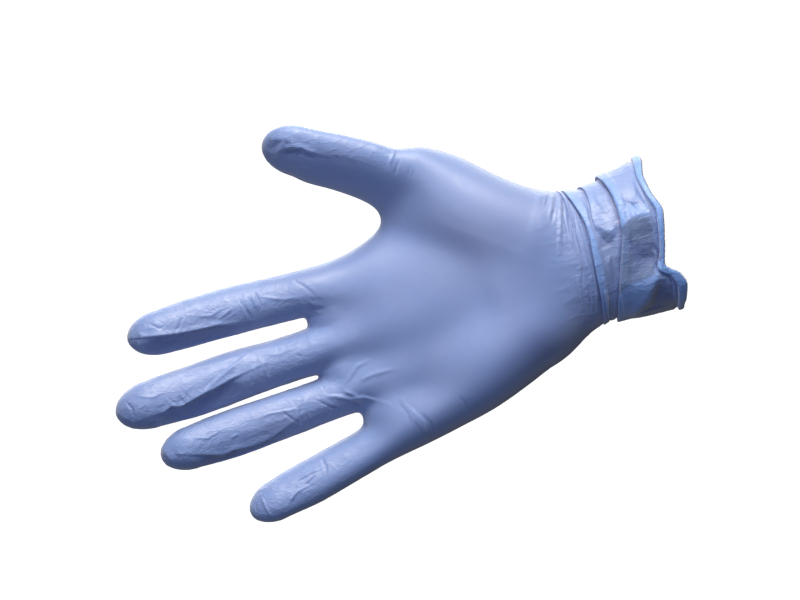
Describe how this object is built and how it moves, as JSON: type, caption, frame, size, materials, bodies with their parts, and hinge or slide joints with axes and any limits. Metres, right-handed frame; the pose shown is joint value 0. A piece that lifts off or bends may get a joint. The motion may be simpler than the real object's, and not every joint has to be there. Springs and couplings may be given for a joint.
{
  "type": "nitrile glove",
  "caption": "Thin blue nitrile glove holding the form of an open right hand: hollow stalls, smooth palm, gathered wrist and a wavy open cuff with a rolled hem.",
  "frame": {"origin": "centre of the open cuff, where the wrist enters", "axes": "+X along the middle stall from its tip to the open cuff, the way the arm leaves; +Z towards the thumb side; the palm faces -Y"},
  "size_m": [0.2248, 0.0486, 0.1451],
  "materials": {
    "nitrile_film": "satin, thin dip-moulded film"
  },
  "bodies": {
    "root": {"glove_film": "nitrile_film"}
  },
  "joints": []
}
